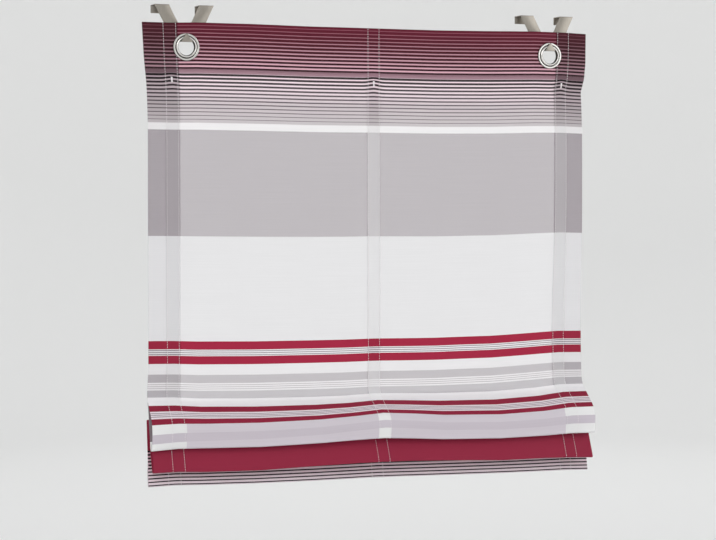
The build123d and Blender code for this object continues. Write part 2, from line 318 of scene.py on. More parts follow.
def roundedLine(points, radii, step=0.5, mostOfRun=0.48):
    # straight runs joined by arcs; also the place of each corner's middle in the list
    points = [np.array(p, float) for p in points]
    line, middles = [points[0]], []
    for before, corner, after, radius in zip(points, points[1:], points[2:], radii):
        runIn, runOut = np.linalg.norm(corner - before), np.linalg.norm(after - corner)
        along, away = (corner - before) / runIn, (after - corner) / runOut
        turn = math.atan2(along[0] * away[1] - along[1] * away[0], along @ away)
        cut = min(radius * math.tan(abs(turn) / 2), mostOfRun * runIn, mostOfRun * runOut)
        radius = cut / math.tan(abs(turn) / 2)
        start = corner - along * cut
        side = math.copysign(radius, turn)
        centre = start + side * np.array([-along[1], along[0]])
        count = max(5, int(abs(turn) * radius / step) * 2 + 1)
        middles.append(len(line) + count // 2)
        for angle in np.linspace(0, turn, count):
            spoke = start - centre
            turned = (
                spoke[0] * math.cos(angle) - spoke[1] * math.sin(angle),
                spoke[0] * math.sin(angle) + spoke[1] * math.cos(angle),
            )
            line.append(centre + np.array(turned))
    line.append(points[-1])
    return np.array(line), middles


columnStore = {}


def clothColumn(x):
    # the cloth's line in the upright plane at x: distance down the cloth, place and backward normal
    if x in columnStore:
        return columnStore[x]
    reach = float(np.interp(x, acrossPlaces, foldReach))
    line, middles = roundedLine(*clothCorners(reach))
    run = np.concatenate([[0], np.cumsum(np.linalg.norm(np.diff(line, axis=0), axis=1))])
    mark = [run[i] for i in middles]
    firstFold, secondFold = (mark[2] + mark[3]) / 2, (mark[6] + mark[7]) / 2
    firstCrease, secondCrease = (mark[4] + mark[5]) / 2, (mark[8] + mark[9]) / 2
    bottom = mark[10]
    # the gathered stretch is the only one where the line's length and the cloth's can differ
    gatherTop = firstFold + folds["gatherStart"]
    skirtTop = bottom - folds["skirtLength"] - folds["gatherEnd"]
    length = panel["length"]
    cloth = np.interp(
        run,
        [0, gatherTop, skirtTop, bottom, run[-1]],
        [0, gatherTop, length - (bottom - skirtTop), length, length + run[-1] - bottom],
    )
    lower = {stage: float(np.interp(x, acrossPlaces, values)) for stage, values in droop.items()}
    stages = {
        0: lower["topEdge"],
        120: 0,
        320: 0,
        400: lower["redPair"],
        428: lower["redPair"] * 1.1,
        482: lower["redFold"],
        firstFold: lower["firstFold"],
        firstCrease: 0,
        secondFold: lower["secondFold"],
        secondCrease: lower["skirt"] / 2,
        bottom: lower["skirt"],
    }
    drop = np.interp(run, list(stages), list(stages.values()))
    slope = np.gradient(line, axis=0)
    slope /= np.linalg.norm(slope, axis=1)[:, None]
    columnStore[x] = (cloth, line[:, 0], line[:, 1] - drop, -slope[:, 1], slope[:, 0])
    return columnStore[x]


hang = {
    # gentle waves, still near the tapes and weaker where hem and folds stiffen the cloth
    "calm": 26,
    "rippleDrops": [0, 60, 130, 400, 470, 868],
    "rippleShares": [0.5, 0.6, 1.0, 1.0, 0.5, 0.3],
    # each bar tack draws the cloth up and forward round itself: half width and height, rise, pull
    "tackArea": (8, 13),
    "tackRise": 1.7,
    "tackPull": 0.9,
    # the tapes' seams pucker the cloth a little: half width, height and spacing
    "puckerWidth": 7,
    "pucker": 0.35,
    "puckerSpacing": 11,
    "edgePower": 5,         # how close to the edges their spread stays
    # the right-hand bay hangs a little to the left above the folds
    "lean": -5,
    "leanPlace": (268, 400),
    "leanArea": (50, 110),
}
rng = np.random.default_rng(11)
ripples = [
    # width of one wave across, drift with the drop, size and phase of each gentle wave
    (rng.uniform(95, 240), rng.uniform(-0.4, 0.4), rng.uniform(0.25, 0.6), rng.uniform(0, 6.28))
    for _ in range(5)
]


def clothSurface(x, down, behind=0.0):
    # x across and down along the cloth, both before it hangs; behind is how far back of it
    x = np.asarray(x, float)
    down = np.asarray(down, float)
    column = clothColumn(round(float(x.flat[0]), 1))
    y = np.interp(down, column[0], column[1])
    z = np.interp(down, column[0], column[2])
    normalY = np.interp(down, column[0], column[3])
    normalZ = np.interp(down, column[0], column[4])
    size = np.hypot(normalY, normalZ)
    y = y + normalY / size * behind
    z = z + normalZ / size * behind
    clear = np.ones_like(down)
    for middle in tapeMiddles.values():
        clear = clear * (1 - np.exp(-(((x - middle) / hang["calm"]) ** 2)))
    clear = clear * np.interp(down, hang["rippleDrops"], hang["rippleShares"])
    for width, drift, size, phase in ripples:
        y = y + clear * size * np.sin(math.tau * (x + drift * down) / width + phase)
    tackWidth, tackHeight = hang["tackArea"]
    for middle in tapeMiddles.values():
        pull = np.exp(-(((x - middle) / tackWidth) ** 2) - ((down - tackDrop) / tackHeight) ** 2)
        z = z + hang["tackRise"] * pull
        y = y - hang["tackPull"] * pull
        pinch = np.exp(-(((x - middle) / hang["puckerWidth"]) ** 2)) * (down < panel["length"])
        y = y + hang["pucker"] * pinch * np.sin(down / hang["puckerSpacing"] + middle)
    half = panel["halfWidth"]
    left = np.interp(down, edgeStages, leftEdge) - half
    right = np.interp(down, edgeStages, rightEdge) - half
    spread = np.where(x < 0, -left, right) * (np.abs(x) / half) ** hang["edgePower"]
    leanX, leanDrop = hang["leanPlace"]
    leanWidth, leanHeight = hang["leanArea"]
    lean = np.exp(-(((x - leanX) / leanWidth) ** 2) - ((down - leanDrop) / leanHeight) ** 2)
    return np.stack([x + spread + hang["lean"] * lean, y, z], axis=-1)


def sheetPlace(across, along):
    # a point of the cut cloth: side hems lie past the half width, the top hem above zero
    half = panel["halfWidth"]
    turn = panel["turnRun"]
    overSide = abs(across) - half
    x = math.copysign(half - abs(overSide), across) if overSide > 0 else across
    sideGap = panel["hemGap"] * min(1, max(0, overSide / turn + 0.5)) if overSide > -turn / 2 else 0
    down = np.abs(along)
    topShare = np.clip(0.5 - along / turn, 0, 1)
    topGap = panel["topHemGap"] - sideGap * 0.5
    behind = sideGap * (1 - topShare) + topGap * topShare
    return clothSurface(np.full_like(down, x), down, behind)


def spaced(*stretches):
    # one rising list of numbers: (start, end, step) for each stretch
    values = []
    for start, end, step in stretches:
        count = max(1, round((end - start) / step))
        values += [start + (end - start) * i / count for i in range(count)]
    return values + [stretches[-1][1]]


def addGrid(name, rowsOfPoints, uvAcross=None, uvAlong=None):
    # a sheet of quads through rows of points in millimetres; its uv map is metres of cut cloth
    points = np.array(rowsOfPoints)
    rows, columns = points.shape[:2]
    index = np.arange(rows * columns).reshape(rows, columns)
    faces = np.stack([index[:-1, :-1], index[1:, :-1], index[1:, 1:], index[:-1, 1:]], -1).reshape(-1, 4)
    piece = addMesh(name, points.reshape(-1, 3) * mm, faces.tolist())
    if uvAcross is not None:
        layer = piece.data.uv_layers.new(name="cutCloth")
        across, along = np.meshgrid(uvAcross, uvAlong)
        flat = np.stack([across.ravel(), along.ravel()], -1) * mm
        loops = np.empty(len(piece.data.loops), int)
        piece.data.loops.foreach_get("vertex_index", loops)
        layer.data.foreach_set("uv", flat[loops].ravel())
    return piece


def cutRound(piece, centres, radius):
    # a round hole through the sheet at each centre, its edge eased out to the radius
    mesh = bmesh.new()
    mesh.from_mesh(piece.data)
    for x, z in centres:
        middles = [(face, face.calc_center_median()) for face in mesh.faces]
        gone = [face for face, middle in middles if math.hypot(middle.x - x, middle.z - z) < radius]
        bmesh.ops.delete(mesh, geom=gone, context="FACES")
        for vert in mesh.verts:
            away = math.hypot(vert.co.x - x, vert.co.z - z)
            if away < radius:
                vert.co.x = x + (vert.co.x - x) * radius / away
                vert.co.z = z + (vert.co.z - z) * radius / away
    mesh.to_mesh(piece.data)
    mesh.free()


eyeletSides = ("left", "right")
eyeletBoxes = {side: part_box("eyelet_front_" + side) for side in eyeletSides}
eyeletCentres = {
    side: ((low.x + high.x) / 2, (low.z + high.z) / 2) for side, (low, high) in eyeletBoxes.items()
}

# size of the quads in each stretch, and where the stretches meet down the cloth
clothMesh = {
    "across": 4.0,
    "flat": 4.0,
    "leaving": 3.0,
    "fold": 0.7,
    "gathered": 1.35,
    "hem": 0.98,
    "meets": (470, 535, 560, 790, 860),
    "eyeletHole": 12.0,
}


def addCloth(sizes):
    half, hem, turn = panel["halfWidth"], panel["hemWidth"], panel["turnRun"]
    outer = spaced((half - turn, half + turn, turn / 2), (half + turn, half + hem, sizes["across"]))
    inner = spaced((0, half - turn, sizes["across"]))[1:-1]
    across = [-v for v in reversed(outer)] + [-v for v in reversed(inner)] + [0] + inner + outer
    shoulder, front, gather, skirt, hemTurn = sizes["meets"]
    along = spaced(
        (-panel["topHem"], -turn, sizes["flat"]),
        (-turn, turn, turn / 2),
        (turn, shoulder, sizes["flat"]),
        (shoulder, front, sizes["leaving"]),
        (front, gather, sizes["fold"]),
        (gather, skirt, sizes["gathered"]),
        (skirt, hemTurn, sizes["flat"]),
        (hemTurn, panel["length"] + panel["bottomHem"], sizes["hem"]),
    )
    columns = [sheetPlace(value, np.array(along)) for value in across]
    cloth = addGrid("striped_cloth", np.stack(columns, axis=1), across, along)
    cutRound(cloth, eyeletCentres.values(), sizes["eyeletHole"] * mm)
    return cloth


# where each stripe starts, in millimetres down the cloth, its colour and how sheer it is
stripes = [
    (-60, "#520b20", 0.0),
    (57.4, "#a37e8a", 0.04),
    (62.6, "#e3cfd7", 0.05),
    (123.9, "#f9f7f8", 0.05),
    (132.6, "#b3aab0", 0.36),
    (264.8, "#f3f2f4", 0.30),
    (395.6, "#a91f40", 0.0),
    (405.9, "#f6f4f6", 0.16),
    (414.0, "#a91f40", 0.0),
    (424.2, "#f6f4f6", 0.18),
    (437.4, "#c3bdc2", 0.25),
    (447.6, "#f8f6f8", 0.2),
    (457.2, "#c4bfc4", 0.25),
    (466.8, "#fdfbfd", 0.03),
    (479.4, "#98193a", 0.0),
    (488.4, "#faf0f5", 0.03),
    (499.0, "#98193a", 0.0),
    (506.0, "#e9e2ea", 0.08),
    (517.0, "#e1d9e2", 0.08),
    (527.5, "#e9e2ea", 0.08),
    (552, "#aaa1a7", 0.36),
    (604, "#f6f4f6", 0.30),
    (616, "#a02443", 0.02),
    (822, "#d9bcc6", 0.04),
    (866.9, "#eee3e7", 0.05),
]
# the ground colour where it fades along the cloth; None ends one fade before the next starts
fades = [
    (0, "#6b102c"),
    (22, "#520b20"),
    (57.4, "#2b0b15"),
    (57.4, None),
    (62.6, "#f0d3de"),
    (71, "#f8e2ea"),
    (85, "#efdce3"),
    (99, "#d6cace"),
    (123.9, "#cfc8cb"),
    (123.9, None),
    (822, "#e0b2c0"),
    (846, "#f8dfe8"),
    (868, "#f3e6eb"),
]
# fine lines: first and last centre, pitch, then share of the pitch and colour at both ends
fineLines = [
    (3.6, 54.0, 4.57, (0.2, 0.5), ("#9a5263", "#f0bccb")),
    (64.4, 119.8, 4.6, (0.62, 0.16), ("#1d060e", "#7c7076")),
    (407.5, 412.5, 2.5, (0.42, 0.42), ("#95878f", "#95878f")),
    (449.9, 454.9, 2.5, (0.35, 0.35), ("#c3bbc0", "#c3bbc0")),
    (491.2, 496.2, 2.5, (0.42, 0.42), ("#a0919a", "#a0919a")),
    (822.6, 866.6, 4.4, (0.56, 0.34), ("#12040a", "#2e1c23")),
]
layered = {
    # where the layers behind show in the cloth's tone, with painted light over the tapes and painted shade on
    # the hems
    "voileStarts": 123.9,
    "paleZones": ((132.6, 395.6), (424.2, 479.4)),
    "foldZone": 506.0,      # the first fold's front starts here
    "hemBands": ((506.0, 517.0), (527.5, 552)),
    "tapeHalf": 8.4,
    # painted light: how much lighter the pale zones are painted over each tape, and the share of gaps left
    # there
    "paintedLightOverTape": {"left": (0.12, 0.3), "center": (0.5, 0.15), "right": (0.3, 0.3)},
    # painted shade: how dark the side hems are painted beside the top stripes, and from the voile down
    "paintedHemShades": (0.5, 0.96),        # side hems beside the top stripes, and from the voile down
}
weave = {
    "slubLength": 90,       # mm along the weft
    "slubHeight": 0.9,
    "slubDepth": 0.045,
    "threadPitch": 1.3,     # true threads lie 0.25 mm apart, too fine to show, so they are drawn coarser
    "threadHeight": 0.05,
}


def inMm(tree, metres):
    # coordinates in millimetres
    return addNode(tree, "ShaderNodeVectorMath", {0: metres, "Scale": 1 / mm}, operation="SCALE").outputs[0]


def band(tree, place, low, high):
    # a mask: 1 from low to high, 0 elsewhere
    middle = {0: place, 1: (low + high) / 2, 2: (high - low) / 2}
    return addNode(tree, "ShaderNodeMath", middle, operation="COMPARE").outputs[0]


def fading(tree, place, first, last, colours):
    # a colour that changes evenly from one place to another
    progress = addNode(tree, "ShaderNodeMapRange", {0: place, 1: first, 2: last, 3: 0.0, 4: 1.0})
    mix = {"Factor": progress.outputs[0], 6: linear(colours[0]), 7: linear(colours[1])}
    return addNode(tree, "ShaderNodeMix", mix, data_type="RGBA").outputs[2]


def stripedVoile():
    # woven polyester voile with satin stripes: matte, slightly silky, its pale bands let light through
    material, tree = newMaterial("stripedVoileWoven")
    cut = addNode(tree, "ShaderNodeUVMap", uv_map="cutCloth")
    parts = addNode(tree, "ShaderNodeSeparateXYZ", {0: inMm(tree, cut.outputs[0])})
    across, down = parts.outputs[0], parts.outputs[1]
    white = linear("#ffffff")
    layers = []             # each mask and colour, laid over the ones before

    # each band starts where the one above it ends, and so does its share of open gaps
    sheer = stripes[0][2]
    for (_, _, gapsAbove), (start, hexCode, gapsHere) in zip(stripes, stripes[1:]):
        here = addNode(tree, "ShaderNodeMath", {0: down, 1: start}, operation="GREATER_THAN").outputs[0]
        layers.append((here, linear(hexCode)))
        more = {0: here, 1: gapsHere - gapsAbove, 2: sheer}
        sheer = addNode(tree, "ShaderNodeMath", more, operation="MULTIPLY_ADD").outputs[0]
    for (start, above), (end, below) in zip(fades, fades[1:]):
        if above and below:
            layers.append((band(tree, down, start, end), fading(tree, down, start, end, (above, below))))
    for first, last, pitch, share, colours in fineLines:
        half = pitch / 2
        widths = {0: down, 1: first, 2: last, 3: share[0] * half, 4: share[1] * half}
        width = addNode(tree, "ShaderNodeMapRange", widths).outputs[0]
        below = addNode(tree, "ShaderNodeMath", {0: down, 1: first}, operation="SUBTRACT").outputs[0]
        away = addNode(tree, "ShaderNodeMath", {0: below, 1: half}, operation="PINGPONG").outputs[0]
        thin = addNode(tree, "ShaderNodeMath", {0: away, 1: width}, operation="LESS_THAN").outputs[0]
        inBand = {0: thin, 1: band(tree, down, first - half, last + half)}
        mask = addNode(tree, "ShaderNodeMath", inBand, operation="MULTIPLY").outputs[0]
        layers.append((mask, fading(tree, down, first, last, colours)))

    # painted light: the pale zones are painted lighter where a tape lies behind, by a different amount for
    # each tape; the tape also closes the cloth's gaps there
    columns = {
        side: band(tree, across, middle - layered["tapeHalf"], middle + layered["tapeHalf"])
        for side, middle in tapeMiddles.items()
    }
    for side, (paintedLight, gapsLeft) in layered["paintedLightOverTape"].items():
        top = panel["topHem"] if side == "center" else 0.0
        inColumn = {0: columns[side], 1: band(tree, down, top, layered["foldZone"])}
        column = addNode(tree, "ShaderNodeMath", inColumn, operation="MULTIPLY").outputs[0]
        for zone in layered["paleZones"]:
            inZone = {0: column, 1: band(tree, down, *zone)}
            pale = addNode(tree, "ShaderNodeMath", inZone, operation="MULTIPLY").outputs[0]
            part = addNode(tree, "ShaderNodeMath", {0: pale, 1: paintedLight}, operation="MULTIPLY").outputs[0]
            layers.append((part, white))
        left = addNode(tree, "ShaderNodeMapRange", {0: column, 1: 0.0, 2: 1.0, 3: 1.0, 4: gapsLeft})
        closed = {0: sheer, 1: left.outputs[0]}
        sheer = addNode(tree, "ShaderNodeMath", closed, operation="MULTIPLY").outputs[0]

    # on the first fold the layered hems and the centre tape keep two bands white
    distance = addNode(tree, "ShaderNodeMath", {0: across}, operation="ABSOLUTE").outputs[0]
    hemStarts = {0: distance, 1: panel["halfWidth"] - panel["hemWidth"]}
    inHem = addNode(tree, "ShaderNodeMath", hemStarts, operation="GREATER_THAN").outputs[0]
    thick = {0: inHem, 1: columns["center"]}
    isThick = addNode(tree, "ShaderNodeMath", thick, operation="MAXIMUM").outputs[0]
    for zone in layered["hemBands"]:
        inZone = {0: isThick, 1: band(tree, down, *zone)}
        layers.append((addNode(tree, "ShaderNodeMath", inZone, operation="MULTIPLY").outputs[0], white))
    colour = linear(stripes[0][1])
    for mask, paint in layers:
        mix = {"Factor": mask, 6: colour, 7: paint}
        colour = addNode(tree, "ShaderNodeMix", mix, data_type="RGBA").outputs[2]

    # painted shade: the folded side hems are painted darker, most of all where the cloth is dark
    top, low = layered["paintedHemShades"]
    paintedHemShades = {0: down, 1: stripes[1][0], 2: layered["voileStarts"], 3: top, 4: low}
    paintedHemShade = addNode(tree, "ShaderNodeMapRange", paintedHemShades)
    whereHem = {0: inHem, 1: 0.0, 2: 1.0, 3: 1.0, 4: paintedHemShade.outputs[0]}
    paintedHemShading = addNode(tree, "ShaderNodeMapRange", whereHem)
    # slubs: threads of uneven thickness run across the cloth
    slubSize = {0: cut.outputs[0], 1: (1 / (weave["slubLength"] * mm), 1 / (weave["slubHeight"] * mm), 0)}
    stretched = addNode(tree, "ShaderNodeVectorMath", slubSize, operation="MULTIPLY")
    slub = addNode(tree, "ShaderNodeTexNoise", {"Vector": stretched.outputs[0], "Scale": 1.0, "Detail": 2.0})
    uneven = {0: slub.outputs[0], 1: 0.25, 2: 0.75, 3: 1 - weave["slubDepth"], 4: 1.0}
    for tone in (paintedHemShading, addNode(tree, "ShaderNodeMapRange", uneven)):
        mix = {"Factor": 1.0, 6: colour, 7: tone.outputs[0]}
        colour = addNode(tree, "ShaderNodeMix", mix, data_type="RGBA", blend_type="MULTIPLY").outputs[2]

    # warp and weft stand up in turn
    waves = []
    for place in (across, down):
        turn = {0: place, 1: math.tau / weave["threadPitch"]}
        angle = addNode(tree, "ShaderNodeMath", turn, operation="MULTIPLY").outputs[0]
        waves.append(addNode(tree, "ShaderNodeMath", {0: angle}, operation="SINE").outputs[0])
    height = addNode(tree, "ShaderNodeMath", {0: waves[0], 1: waves[1]}, operation="MULTIPLY")
    raised = {"Strength": 0.35, "Distance": weave["threadHeight"] * mm, "Height": height.outputs[0]}
    bump = addNode(tree, "ShaderNodeBump", raised)
    yarn = addNode(tree, "ShaderNodeBsdfPrincipled", {
        "Base Color": colour, "Normal": bump.outputs[0], "Roughness": 0.62, "IOR": 1.5,
        "Specular IOR Level": 0.3, "Sheen Weight": 0.15, "Sheen Roughness": 0.4})
    glow = addNode(tree, "ShaderNodeBsdfTranslucent", {"Color": colour, "Normal": bump.outputs[0]})
    body = addNode(tree, "ShaderNodeMixShader", {0: 0.22, 1: yarn.outputs[0], 2: glow.outputs[0]})
    gaps = addNode(tree, "ShaderNodeBsdfTransparent")
    cloth = addNode(tree, "ShaderNodeMixShader", {0: sheer, 1: body.outputs[0], 2: gaps.outputs[0]})
    finishMaterial(tree, cloth)
    return material


cloth = addCloth(clothMesh)
cloth.data.materials.append(stripedVoile())
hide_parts("fabric_panel")
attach(cloth, "root")
print("cloth hangs,", len(cloth.data.polygons), "quads")


# the cord tapes: narrow woven bands sewn behind the cloth, which carry the rings
tapes = {
    "halfWidth": 9.0,
    "gap": 0.95,            # cloth to tape
    "thickness": 0.5,
    "washerRadius": 17.0,   # the tape is cut round the eyelet's washer
    "ribPitch": 1.6,
    "stitchInset": 1.4,
    "starts": {"left": 1.2, "center": panel["topHem"] + 0.4, "right": 1.2},
    "ends": panel["length"] - 29.3,
    "meets": (90, 460, 535, 790),       # where its quads change size down the cloth
    "quads": (2.0, 4.0, 2.5, 1.35, 2.5),
}


def behindCloth(side):
    # from the cloth's front layer to a tape: the outer two lie on the side hems as well
    return tapes["gap"] - (panel["hemGap"] if side == "center" else 0)


def addTape(side, sizes):
    middle = tapeMiddles[side]
    gap = behindCloth(side)
    marks = (sizes["starts"][side], *sizes["meets"], sizes["ends"])
    along = spaced(*zip(marks, marks[1:], sizes["quads"]))
    rows = []
    for share in np.linspace(-1, 1, 7):
        x = middle + share * sizes["halfWidth"]
        near = clothSurface(np.full(len(along), x), np.array(along), gap)
        far = clothSurface(np.full(len(along), x), np.array(along), gap + sizes["thickness"])
        rows.append((near, far))
    ring = [near for near, _ in rows] + [far for _, far in reversed(rows)]
    points = np.stack(ring + ring[:1], axis=1)
    for eyeletX, eyeletZ in eyeletCentres.values():
        eyeletX, eyeletZ = eyeletX / mm, eyeletZ / mm
        reach = np.sqrt(np.maximum(0, sizes["washerRadius"] ** 2 - (points[..., 2] - eyeletZ) ** 2))
        outward = math.copysign(1, middle - eyeletX)
        inside = (points[..., 0] - eyeletX) * outward < reach
        points[..., 0] = np.where(inside & (reach > 0), eyeletX + outward * reach, points[..., 0])
    tape = addGrid("cord_tape_cloth_" + side, points)
    closeShell(tape, 0.02)
    return tape


def objectMm(tree):
    return inMm(tree, addNode(tree, "ShaderNodeTexCoord").outputs["Object"])


def mottled(tree, hexCode, pattern, low):
    # the colour, a little darker where the pattern is low
    tone = addNode(tree, "ShaderNodeMapRange", {0: pattern, 1: 0.3, 2: 0.7, 3: low, 4: 1.0})
    mix = {"Factor": 1.0, 6: linear(hexCode), 7: tone.outputs[0]}
    return addNode(tree, "ShaderNodeMix", mix, data_type="RGBA", blend_type="MULTIPLY").outputs[2]


def ribbedTape():
    # woven polyester tape: white, ribbed across, lets a little light through
    material, tree = newMaterial("ribbedTapeWoven")
    place = objectMm(tree)
    rib = addNode(tree, "ShaderNodeTexWave", {
        "Vector": place, "Scale": math.tau / tapes["ribPitch"] / 20, "Distortion": 0.6}, bands_direction="Z")
    speck = addNode(tree, "ShaderNodeTexNoise", {"Vector": place, "Scale": 0.9, "Detail": 3.0})
    tone = addNode(tree, "ShaderNodeMix", {
        "Factor": speck.outputs[0], 6: linear("#f4f3f3"), 7: linear("#e6e4e6")}, data_type="RGBA")
    raised = {"Strength": 0.5, "Distance": 0.12 * mm, "Height": rib.outputs[0]}
    bump = addNode(tree, "ShaderNodeBump", raised)
    yarn = addNode(tree, "ShaderNodeBsdfPrincipled", {
        "Base Color": tone.outputs[2], "Normal": bump.outputs[0], "Roughness": 0.7, "Sheen Weight": 0.2})
    glow = addNode(tree, "ShaderNodeBsdfTranslucent", {"Color": tone.outputs[2]})
    body = addNode(tree, "ShaderNodeMixShader", {0: 0.35, 1: yarn.outputs[0], 2: glow.outputs[0]})
    finishMaterial(tree, body)
    return material


tapeMaterial = ribbedTape()
for side in tapeMiddles:
    tape = addTape(side, tapes)
    tape.data.materials.append(tapeMaterial)
    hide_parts("cord_tape_" + side)
    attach(tape, "root")
print("cord tapes are sewn on")

# Geometry Nodes: stitches along lines, rings on points


def newTree(name, inputs):
    tree = bpy.data.node_groups.new(name, "GeometryNodeTree")
    tree.interface.new_socket("Geometry", in_out="INPUT", socket_type="NodeSocketGeometry")
    for socket, kind in inputs.items():
        tree.interface.new_socket(socket, in_out="INPUT", socket_type="NodeSocket" + kind)
    tree.interface.new_socket("Geometry", in_out="OUTPUT", socket_type="NodeSocketGeometry")
    return tree, addNode(tree, "NodeGroupInput").outputs


def closeTree(tree, geometry, material):
    real = addNode(tree, "GeometryNodeRealizeInstances", {0: geometry})
    painted = addNode(tree, "GeometryNodeSetMaterial", {"Geometry": real.outputs[0], "Material": material})
    addNode(tree, "NodeGroupOutput", {0: painted.outputs[0]})


def stitchTree():
    # thread lying along each line, one rounded stitch at every pitch
    tree, given = newTree("stitchRow", {
        "Pitch": "Float", "Stitch Length": "Float", "Thread Radius": "Float", "Unevenness": "Float",
        "Seed": "Int", "Thread": "Material"})
    along = {"Curve": given["Geometry"], "Length": given["Pitch"]}
    points = addNode(tree, "GeometryNodeCurveToPoints", along, mode="LENGTH")
    tangent = {"Vector": points.outputs["Tangent"]}
    facing = addNode(tree, "FunctionNodeAlignRotationToVector", tangent, axis="Z")
    bead = addNode(tree, "GeometryNodeMeshUVSphere", {"Segments": 6, "Rings": 5, "Radius": 1.0})
    halved = {0: given["Stitch Length"], 1: 0.5}
    halfLength = addNode(tree, "ShaderNodeMath", halved, operation="MULTIPLY")
    size = addNode(tree, "ShaderNodeCombineXYZ", {
        0: given["Thread Radius"], 1: given["Thread Radius"], 2: halfLength.outputs[0]})
    stretch = {"Geometry": bead.outputs["Mesh"], "Scale": size.outputs[0]}
    shaped = addNode(tree, "GeometryNodeTransform", stretch)
    smooth = addNode(tree, "GeometryNodeSetShadeSmooth", {"Geometry": shaped.outputs[0]})
    least = addNode(tree, "ShaderNodeMath", {0: 1.0, 1: given["Unevenness"]}, operation="SUBTRACT")
    limits = {2: least.outputs[0], 3: 1.0, "Seed": given["Seed"]}
    vary = addNode(tree, "FunctionNodeRandomValue", limits, data_type="FLOAT")
    placed = addNode(tree, "GeometryNodeInstanceOnPoints", {
        "Points": points.outputs["Points"], "Instance": smooth.outputs[0],
        "Rotation": facing.outputs[0], "Scale": vary.outputs[1]})
    closeTree(tree, placed.outputs[0], given["Thread"])
    return tree


def ringTree():
    # a torus lying flat at every point
    tree, given = newTree("ringStack", {"Ring Radius": "Float", "Wire Radius": "Float", "Finish": "Material"})
    around = {"Resolution": 48, "Radius": given["Ring Radius"]}
    path = addNode(tree, "GeometryNodeCurvePrimitiveCircle", around, mode="RADIUS")
    wire = {"Resolution": 16, "Radius": given["Wire Radius"]}
    section = addNode(tree, "GeometryNodeCurvePrimitiveCircle", wire, mode="RADIUS")
    sweep = {"Curve": path.outputs[0], "Profile Curve": section.outputs[0]}
    ring = addNode(tree, "GeometryNodeCurveToMesh", sweep)
    smooth = addNode(tree, "GeometryNodeSetShadeSmooth", {"Geometry": ring.outputs[0]})
    spots = {"Points": given["Geometry"], "Instance": smooth.outputs[0]}
    placed = addNode(tree, "GeometryNodeInstanceOnPoints", spots)
    closeTree(tree, placed.outputs[0], given["Finish"])
    return tree


def grow(name, source, tree, values):
    # runs the tree on the source's data and keeps the result as a plain mesh
    holder = bpy.data.objects.new(name + "Source", source)
    scene.collection.objects.link(holder)
    modifier = holder.modifiers.new("grow", "NODES")
    modifier.node_group = tree
    for item in tree.interface.items_tree:
        if item.in_out == "INPUT" and item.name in values:
            modifier[item.identifier] = values[item.name]
    graph = bpy.context.evaluated_depsgraph_get()
    mesh = bpy.data.meshes.new_from_object(holder.evaluated_get(graph), depsgraph=graph)
    holder.modifiers.remove(modifier)
    bpy.data.objects.remove(holder)
    piece = bpy.data.objects.new(name, mesh)
    scene.collection.objects.link(piece)
    return piece


def linesData(name, lines):
    # a curve of straight-run splines through each list of points in millimetres
    data = bpy.data.curves.new(name, "CURVE")
    data.dimensions = "3D"
    for points in lines:
        spline = data.splines.new("POLY")
        spline.points.add(len(points) - 1)
        for place, point in zip(spline.points, points):
            place.co = (*(np.array(point) * mm), 1)
    return data


def sewingThread(name, hexCode):
    # spun polyester thread: soft sheen, fine twist
    material, tree = newMaterial(name)
    place = objectMm(tree)
    twist = addNode(tree, "ShaderNodeTexNoise", {"Vector": place, "Scale": 3.0, "Detail": 2.0})
    shade = mottled(tree, hexCode, twist.outputs[0], 0.9)
    raised = {"Strength": 0.4, "Distance": 0.08 * mm, "Height": twist.outputs[0]}
    bump = addNode(tree, "ShaderNodeBump", raised)
    thread = addNode(tree, "ShaderNodeBsdfPrincipled", {
        "Base Color": shade, "Normal": bump.outputs[0], "Roughness": 0.5, "Sheen Weight": 0.3})
    finishMaterial(tree, thread)
    return material


stitching = {
    "pitch": 3.1,
    "length": 2.7,
    "thread": 0.30,         # radius; true thread is thinner, drawn so that it shows
    "proud": 0.1,
    "unevenness": 0.18,
    "seed": 4,
    "backStarts": {"left": 70, "center": panel["topHem"] + 1, "right": 70},     # clear of the washers
    "topSeamInset": 3.2,    # from the top hem's raw edge
    "lowSeamRise": 2.5,     # above the bar's tunnel
    "seamEnds": 3,
}
stitches = stitchTree()
threadPale = sewingThread("polyesterThreadWhite", "#f3eef0")
threadDark = sewingThread("polyesterThreadBordeaux", "#5d2231")


def sew(name, lines, material, pitch=stitching["pitch"], length=stitching["length"], seed=stitching["seed"]):
    piece = grow(name, linesData(name, lines), stitches, {
        "Pitch": pitch * mm, "Stitch Length": length * mm, "Thread Radius": stitching["thread"] * mm,
        "Unevenness": stitching["unevenness"], "Seed": seed, "Thread": material})
    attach(piece, "root")
    return piece


def downLine(x, start, end, behind):
    down = np.array(spaced((start, end, 1.5)))
    return clothSurface(np.full(len(down), x), down, behind)


def acrossLine(down, low, high, behind):
    return [clothSurface([x], [down], behind)[0] for x in spaced((low, high, 6.0))]


frontLines, backLines = [], []
proud = stitching["proud"]
for side, middle in tapeMiddles.items():
    back = behindCloth(side) + tapes["thickness"]
    for sign in (-1, 1):
        x = middle + sign * (tapes["halfWidth"] - tapes["stitchInset"])
        frontLines.append(downLine(x, 1.5, panel["length"] - 2, -proud))
        backLines.append(downLine(x, stitching["backStarts"][side], tapes["ends"] - 1, back + proud))
topSeam = panel["topHem"] - stitching["topSeamInset"]
lowSeam = panel["length"] - folds["tunnelHeight"] - folds["tunnelDepth"] - stitching["lowSeamRise"]
edgeIn = panel["halfWidth"] - stitching["seamEnds"]
hemIn = edgeIn - panel["hemWidth"]
rowLines = [
    acrossLine(topSeam, -edgeIn, edgeIn, -proud),
    acrossLine(lowSeam, -edgeIn, edgeIn, -proud),
    acrossLine(topSeam, -hemIn, hemIn, panel["topHemGap"] + proud),
    acrossLine(lowSeam, -hemIn, hemIn, folds["seamLap"] + proud),
]
sewn = [
    sew("tape_stitches_front", frontLines, threadPale),
    sew("tape_stitches_back", backLines, threadPale, seed=5),
    sew("hem_stitches", rowLines, threadDark, pitch=2.6, length=2.3, seed=6),
]
print("stitches are in")

